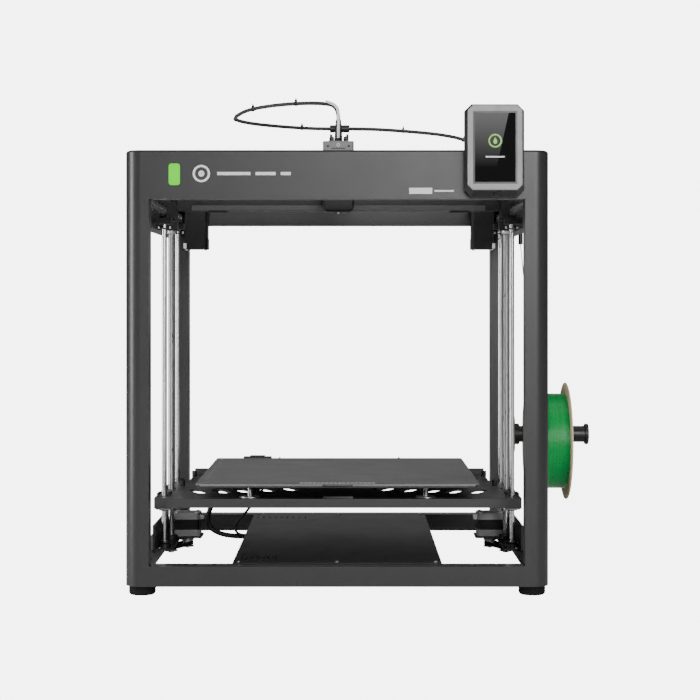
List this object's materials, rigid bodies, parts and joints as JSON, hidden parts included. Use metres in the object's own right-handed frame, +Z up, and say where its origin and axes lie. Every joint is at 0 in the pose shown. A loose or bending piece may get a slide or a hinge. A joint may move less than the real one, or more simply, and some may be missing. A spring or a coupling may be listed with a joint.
{
  "type": "fdm printer",
  "caption": "Large box-frame filament printer with a lifting heated bed, a planar gantry with a toolhead, a front touch display and a side spool.",
  "frame": {"origin": "on the floor, under the middle of the printer's box without its cables", "axes": "+X to the printer's right, where the spool hangs; +Y to the back; +Z up"},
  "size_m": [0.723, 0.705, 0.7232],
  "materials": {
    "frame_paint": "fine satin powder coat, charcoal grey",
    "black_metal": "satin black powder coat",
    "black_plastic": "fine-grained moulded black",
    "cover_grey": "fine-grained moulded grey",
    "bezel_grey": "satin moulded mid grey",
    "screen_glass": "polished black screen",
    "light_green": "lit lime green lens",
    "polished_steel": "ground steel",
    "aluminium": "machined",
    "brass": "machined",
    "rubber": "matte moulded",
    "card": "pressed beige card",
    "filament_green": "glossy wound filament",
    "tube_white": "slippery white tube",
    "cable_black": "braided black sleeve",
    "board_green": "solder mask",
    "sheet_coat": "fine textured dark coat"
  },
  "bodies": {
    "frame": {"column_front_left": "frame_paint", "column_front_right": "frame_paint", "column_rear_left": "frame_paint", "column_rear_right": "frame_paint", "top_front_panel": "frame_paint", "top_rear_panel": "frame_paint", "top_side_panels": "frame_paint", "bottom_cross_beams": "frame_paint", "bottom_side_beams": "frame_paint", "feet": "rubber", "status_light": "light_green", "guide_rods": "polished_steel", "top_corner_brackets": "black_metal", "z_base_brackets": "black_metal", "stepper_motors": "black_metal", "drive_belts": "rubber", "y_rails": "polished_steel", "display_housing": "black_plastic", "display_bezel": "bezel_grey", "display_glass": "screen_glass", "spool_bracket": "black_metal", "spool_spindle": "black_plastic", "electronics_tray": "black_metal", "electronics_cover": "black_metal", "power_supply": "aluminium", "mainboard": "board_green", "power_inlet": "black_plastic", "cable_post": "black_plastic", "umbilical_rear": "cable_black", "umbilical_tail": "cable_black", "filament_strand": "filament_green"},
    "bed": {"bed_carrier": "black_metal", "bed_posts": "aluminium", "heated_bed": "aluminium", "build_sheet": "sheet_coat", "bearing_blocks": "polished_steel", "lead_nuts": "brass", "nozzle_wiper": "black_plastic", "bed_cable": "cable_black"},
    "gantry": {"x_beam": "aluminium", "x_rail": "polished_steel", "y_carriages": "black_metal"},
    "toolhead": {"tool_carriage": "black_plastic", "toolhead_cover": "cover_grey", "hotend": "aluminium", "cable_relief": "black_plastic", "feed_tube": "tube_white", "umbilical_front": "cable_black"},
    "fan_rotor": {"fan_rotor": "black_plastic"},
    "spool": {"spool": "card", "filament_winding": "filament_green"},
    "rocker": {"power_switch": "black_plastic"},
    "lead_screw_left": {"lead_screw_left": "polished_steel"},
    "z_pulley_left": {"z_pulley_left": "aluminium"},
    "xy_pulley_left": {"xy_pulley_left": "aluminium"},
    "idler_left": {"idler_left": "aluminium"},
    "lead_screw_right": {"lead_screw_right": "polished_steel"},
    "z_pulley_right": {"z_pulley_right": "aluminium"},
    "xy_pulley_right": {"xy_pulley_right": "aluminium"},
    "idler_right": {"idler_right": "aluminium"}
  },
  "joints": [
    {"name": "z_lift", "type": "slide", "parent": "frame", "child": "bed", "axis": [0, 0, 1], "range_m": [0, 0.398], "deforming": ["bed_cable"]},
    {"name": "gantry_y", "type": "slide", "parent": "frame", "child": "gantry", "axis": [0, 1, 0], "range_m": [-0.192, 0.208], "deforming": ["umbilical_rear"]},
    {"name": "tool_x", "type": "slide", "parent": "gantry", "child": "toolhead", "axis": [1, 0, 0], "range_m": [-0.2, 0.2], "deforming": ["umbilical_front"]},
    {"name": "screw_left_turn", "type": "hinge", "parent": "frame", "child": "lead_screw_left", "pos_m": [-0.3275, -0.0275, 0.3], "axis": [0, 0, 1], "continuous": true},
    {"name": "z_motor_left_turn", "type": "hinge", "parent": "frame", "child": "z_pulley_left", "pos_m": [-0.3065, 0.0205, 0.03], "axis": [0, 0, 1], "continuous": true},
    {"name": "xy_motor_left_turn", "type": "hinge", "parent": "frame", "child": "xy_pulley_left", "pos_m": [-0.3125, 0.23935, 0.58], "axis": [0, 0, 1], "continuous": true},
    {"name": "idler_left_turn", "type": "hinge", "parent": "frame", "child": "idler_left", "pos_m": [-0.3125, -0.2795, 0.58], "axis": [0, 0, 1], "continuous": true},
    {"name": "screw_right_turn", "type": "hinge", "parent": "frame", "child": "lead_screw_right", "pos_m": [0.1945, -0.0275, 0.3], "axis": [0, 0, 1], "continuous": true},
    {"name": "z_motor_right_turn", "type": "hinge", "parent": "frame", "child": "z_pulley_right", "pos_m": [0.1735, 0.0205, 0.03], "axis": [0, 0, 1], "continuous": true},
    {"name": "xy_motor_right_turn", "type": "hinge", "parent": "frame", "child": "xy_pulley_right", "pos_m": [0.1795, 0.23935, 0.58], "axis": [0, 0, 1], "continuous": true},
    {"name": "idler_right_turn", "type": "hinge", "parent": "frame", "child": "idler_right", "pos_m": [0.1795, -0.2795, 0.58], "axis": [0, 0, 1], "continuous": true},
    {"name": "fan_spin", "type": "hinge", "parent": "toolhead", "child": "fan_rotor", "pos_m": [-0.0845, -0.043, 0.595], "axis": [1, 0, 0], "continuous": true},
    {"name": "spool_spin", "type": "hinge", "parent": "frame", "child": "spool", "pos_m": [0.291, 0.2525, 0.17], "axis": [1, 0, 0], "continuous": true},
    {"name": "power_rocker", "type": "hinge", "parent": "frame", "child": "rocker", "pos_m": [-0.1325, 0.2875, 0.028], "axis": [0, 0, 1], "range_deg": [0, 12]}
  ],
  "couplings": [
    {"joint": "screw_left_turn", "follows": "z_lift", "rad_per_m": -785.4},
    {"joint": "z_motor_left_turn", "follows": "z_lift", "rad_per_m": -785.4},
    {"joint": "xy_motor_left_turn", "follows": "gantry_y", "rad_per_m": 144.93},
    {"joint": "idler_left_turn", "follows": "gantry_y", "rad_per_m": 144.93},
    {"joint": "screw_right_turn", "follows": "z_lift", "rad_per_m": -785.4},
    {"joint": "z_motor_right_turn", "follows": "z_lift", "rad_per_m": -785.4},
    {"joint": "xy_motor_right_turn", "follows": "gantry_y", "rad_per_m": -144.93},
    {"joint": "idler_right_turn", "follows": "gantry_y", "rad_per_m": -144.93}
  ]
}
